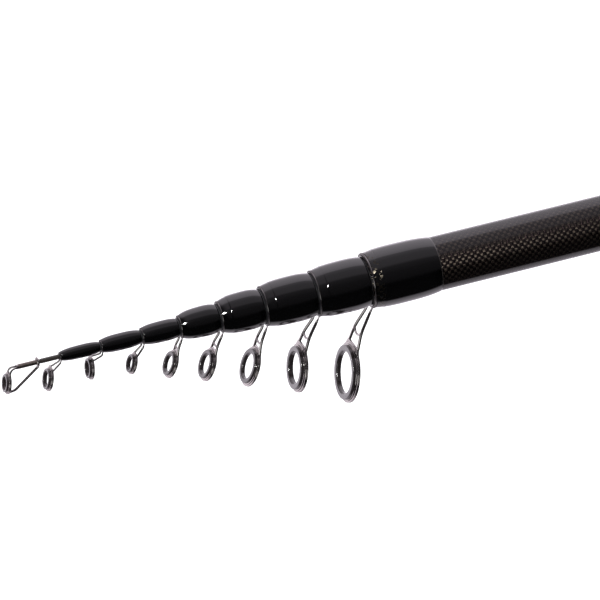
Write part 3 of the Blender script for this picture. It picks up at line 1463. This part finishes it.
def softbox(name, place, target, size, radiance):
    """A rectangular lamp that faces a target; its power is the radiance times pi times its area."""
    lamp = bpy.data.lights.new(name, "AREA")
    lamp.shape = "RECTANGLE"
    lamp.size, lamp.size_y = size
    lamp.energy = radiance * math.pi * size[0] * size[1]
    holder = bpy.data.objects.new(name, lamp)
    holder.location = place
    holder.rotation_euler = (Vector(target) - Vector(place)).to_track_quat("-Z", "Y").to_euler()
    bpy.context.scene.collection.objects.link(holder)
    return holder


VIEW_POINT = Vector((-0.46763, 0.0, -0.00137))

# Brightness that gloss sees round the rod: degrees up from the front, and a share of the tent's level
TENT = (
    (-180, 1.0), (-150, 0.9), (-125, 0.5), (-86, 0.45), (-78, 0.01), (-6, 0.01), (6, 0.04), (36, 0.06),
    (58, 0.11), (67, 0.26), (92, 0.29), (107, 0.4), (111, 0.78), (125, 0.86), (142, 0.74), (165, 0.55),
    (180, 1.0),
)
TENT_LEVEL = 1.4
TENT_TINT = (1, 0.93, 1.02)
ROOM_GREY = (0.36, 0.36, 0.37)
FLOOR_GLOW = 0.62


class ROD_OT_stage(bpy.types.Operator):
    """Set up the camera, the floor, the lamps and the white surroundings"""

    bl_idname = "rod.stage"
    bl_label = "Stage"

    def execute(self, context):
        self.place_camera(context.scene)
        self.lay_floor(context.scene)
        self.hang_lamps()
        self.light_world(context.scene)
        context.scene.view_settings.view_transform = "Standard"
        return {"FINISHED"}

    def place_camera(self, scene):
        """A long lens that looks at the noses from in front and above, rolled so that the rod slopes."""
        looks = rod()
        turn, rise = looks.view_turn, looks.view_rise
        back = Vector(
            (math.sin(turn) * math.cos(rise), -math.cos(turn) * math.cos(rise), math.sin(rise))
        )
        level = (-back).cross(Vector((0, 0, 1))).normalized()
        above = level.cross(-back)
        right = level * math.cos(looks.view_roll) + above * math.sin(looks.view_roll)
        up = above * math.cos(looks.view_roll) - level * math.sin(looks.view_roll)
        lens = bpy.data.cameras.new("product_camera")
        lens.lens = looks.view_lens
        lens.sensor_width = 36
        lens.clip_end = 100
        camera = bpy.data.objects.new("product_camera", lens)
        turned = Matrix((right, up, back)).transposed().to_4x4()
        camera.matrix_world = Matrix.Translation(VIEW_POINT + back * looks.view_dist) @ turned
        scene.collection.objects.link(camera)
        scene.camera = camera

    def lay_floor(self, scene):
        """A pale floor well below the rod; it glows a little for the camera, and keeps soft shadows."""
        half, depth = 12.0, -0.5
        corners = [(-half, -half, depth), (half, -half, depth), (half, half, depth), (-half, half, depth)]
        mesh = bpy.data.meshes.new("floor")
        mesh.from_pydata(corners, [], [(0, 1, 2, 3)])
        floor = bpy.data.objects.new("floor", mesh)
        scene.collection.objects.link(floor)
        material, shader = new_finish("floor", Roughness=0.9)
        tone = Vector(rod().colours.floor)
        shade = blend_colour(material, grain(material, 3), tone * 0.98, tone)
        feed(material, shade, shader, "Base Color")
        seen = add_node(material, "ShaderNodeLightPath").outputs["Is Camera Ray"]
        feed(material, maths(material, "MULTIPLY", seen, FLOOR_GLOW), shader, "Emission Strength")
        shader.inputs["Emission Color"].default_value = (1, 1, 1, 1)
        mesh.materials.append(material)
        floor.visible_glossy = False

    def hang_lamps(self):
        """A large box over and behind the rod, a small bright one in front for the glints on the noses, and a
        wide dim one at the left for the wires. The wires and the noses are each kept from one of these."""
        aim = VIEW_POINT
        over = aim + Vector((0.1, 0.62, 0))
        top_box = softbox("top_box", over + Vector((0, 0, 0.95)), over, size=(2.4, 1.24), radiance=2.3)
        top_box.visible_glossy = False
        in_front = aim + Vector((-0.8, -0.95, 1.05))
        front_box = softbox("front_box", in_front, aim, size=(0.16, 0.16), radiance=300)
        front_box.visible_diffuse = False
        front_box.light_linking.receiver_collection = kept_from("front_box")
        at_left = aim + Vector((-1.2, -1.0, 0.05))
        left_box = softbox("left_box", at_left, aim, size=(1.6, 0.8), radiance=1.0)
        left_box.light_linking.receiver_collection = kept_from("left_box")

    def light_world(self, scene):
        """White for the camera; bright behind and dim in front for gloss; a plain grey for the rest.
        The tent fades out at its left end above the rod and at its right end below it."""
        world = bpy.data.worlds.new("studio")
        world.use_nodes = True
        scene.world = world
        tree = world.node_tree
        back = tree.nodes["Background"]
        rays = add_node(world, "ShaderNodeLightPath").outputs
        way = add_node(world, "ShaderNodeTexCoord").outputs["Generated"]
        apart = add_node(world, "ShaderNodeSeparateXYZ", None, Vector=way).outputs
        front = maths(world, "MULTIPLY", apart[1], -1.0)
        around = maths(world, "ARCTAN2", apart[2], front)
        share = to_range(world, around, low=0.0, high=1.0, start=-math.pi, end=math.pi)
        tent = add_node(world, "ShaderNodeValToRGB", None, Fac=share)
        stops = tent.color_ramp.elements
        for degrees, _ in TENT[1:-1]:
            stops.new(0.5 + degrees / 360)
        for stop, (_, bright) in zip(stops, TENT):
            stop.color = (bright, bright, bright, 1)
        left = to_range(world, apart[0], low=0.15, high=1.0, start=-0.45, end=-0.25)
        right = to_range(world, apart[0], low=1.0, high=0.1, start=0.4, end=0.55)
        side = blend(world, maths(world, "GREATER_THAN", apart[2], 0.0), right, left)
        lit = maths(world, "MULTIPLY", tent.outputs[0], side)
        behind = maths(world, "MULTIPLY", lit, TENT_LEVEL)
        clear = maths(world, "MAXIMUM", rays["Is Camera Ray"], rays["Is Transmission Ray"])
        gloss = blend_colour(world, rays["Is Glossy Ray"], ROOM_GREY, TENT_TINT)
        level = blend(world, rays["Is Glossy Ray"], 1.0, behind)
        tree.links.new(blend_colour(world, clear, gloss, (1, 1, 1)), back.inputs["Color"])
        tree.links.new(blend(world, clear, level, 1.0), back.inputs["Strength"])


OPERATORS = (
    ROD_OT_stage,
    ROD_OT_butt_tube,
    ROD_OT_inner_tubes,
    ROD_OT_nose_wraps,
    ROD_OT_guide_frames,
    ROD_OT_line_rings,
    ROD_OT_tip_top,
    ROD_OT_reel_seat,
    ROD_OT_grip,
    ROD_OT_butt_cap,
)


class ROD_PT_builder(bpy.types.Panel):
    """The rod's operators and colours in the sidebar"""

    bl_idname = "ROD_PT_builder"
    bl_label = "Rod"
    bl_space_type = "VIEW_3D"
    bl_region_type = "UI"
    bl_category = "Rod"

    def draw(self, context):
        column = self.layout.column()
        for operator in OPERATORS:
            column.operator(operator.bl_idname)
        for colour in RodColours.__annotations__:
            column.prop(context.scene.rod_looks.colours, colour)


CLASSES = (RodSections, RodNoses, RodGuides, RodHandle, RodColours, RodLooks, *OPERATORS, ROD_PT_builder)


def register():
    """Registers the classes and hangs the rod's looks on the scene."""
    for item in CLASSES:
        bpy.utils.register_class(item)
    bpy.types.Scene.rod_looks = PointerProperty(type=RodLooks)


def unregister():
    """Takes all of it away again."""
    del bpy.types.Scene.rod_looks
    for item in reversed(CLASSES):
        bpy.utils.unregister_class(item)


def main():
    register()
    for operator in OPERATORS:
        group, name = operator.bl_idname.split(".")
        getattr(getattr(bpy.ops, group), name)()


if __name__ == "__main__":
    main()
